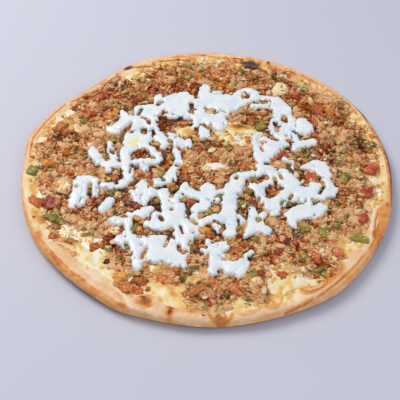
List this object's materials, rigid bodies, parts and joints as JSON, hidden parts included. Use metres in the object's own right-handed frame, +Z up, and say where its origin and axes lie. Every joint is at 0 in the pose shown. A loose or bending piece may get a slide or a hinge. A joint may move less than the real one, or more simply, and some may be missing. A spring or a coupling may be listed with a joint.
{
  "type": "cheese lahmacun",
  "caption": "Round flatbread with a low rolled rim, baked under melted cheese, crumbled mince and diced tomato and pepper, and drizzled with thick yogurt.",
  "frame": {"origin": "on the flat underside, at the middle of the bread's outline", "axes": "+Z up through the food, -Y towards the front of the picture, +X to its right"},
  "size_m": [0.3208, 0.32, 0.0162],
  "materials": {
    "baked_dough": "matte, uneven golden crust over pale dough",
    "melted_cheese": "satin, pale yellow with browned spots",
    "browned_mince": "crumbly, slightly oily",
    "thick_yogurt": "smooth, softly glossy white",
    "cooked_tomato": "moist red",
    "orange_pepper": "moist orange",
    "green_pepper": "moist olive green"
  },
  "bodies": {
    "root": {"bread": "baked_dough", "cheese": "melted_cheese", "mince": "browned_mince", "cheese_centre": "melted_cheese", "cheese_back": "melted_cheese", "cheese_small": "melted_cheese", "cheese_left": "melted_cheese", "cheese_middle": "melted_cheese", "yogurt_back": "thick_yogurt", "yogurt_right": "thick_yogurt", "yogurt_centre": "thick_yogurt", "yogurt_far_left": "thick_yogurt", "yogurt_slant": "thick_yogurt", "yogurt_inner_left": "thick_yogurt", "yogurt_small_left": "thick_yogurt", "yogurt_front_right": "thick_yogurt", "yogurt_front": "thick_yogurt", "tomato_01": "cooked_tomato", "tomato_02": "cooked_tomato", "tomato_03": "cooked_tomato", "tomato_04": "cooked_tomato", "tomato_05": "cooked_tomato", "tomato_06": "cooked_tomato", "tomato_07": "cooked_tomato", "tomato_08": "cooked_tomato", "tomato_09": "cooked_tomato", "tomato_10": "cooked_tomato", "tomato_11": "cooked_tomato", "tomato_12": "cooked_tomato", "tomato_13": "cooked_tomato", "tomato_14": "cooked_tomato", "tomato_15": "cooked_tomato", "tomato_16": "cooked_tomato", "tomato_17": "cooked_tomato", "tomato_18": "cooked_tomato", "tomato_19": "cooked_tomato", "tomato_20": "cooked_tomato", "tomato_21": "cooked_tomato", "orange_pepper_1": "orange_pepper", "orange_pepper_2": "orange_pepper", "orange_pepper_3": "orange_pepper", "orange_pepper_4": "orange_pepper", "orange_pepper_5": "orange_pepper", "orange_pepper_6": "orange_pepper", "orange_pepper_7": "orange_pepper", "green_pepper_1": "green_pepper", "green_pepper_2": "green_pepper", "green_pepper_3": "green_pepper", "green_pepper_4": "green_pepper", "green_pepper_5": "green_pepper", "green_pepper_6": "green_pepper", "green_pepper_7": "green_pepper", "green_pepper_8": "green_pepper", "green_pepper_9": "green_pepper", "green_pepper_10": "green_pepper", "green_pepper_11": "green_pepper", "green_pepper_12": "green_pepper", "green_pepper_13": "green_pepper", "green_pepper_ring": "green_pepper"}
  },
  "joints": []
}
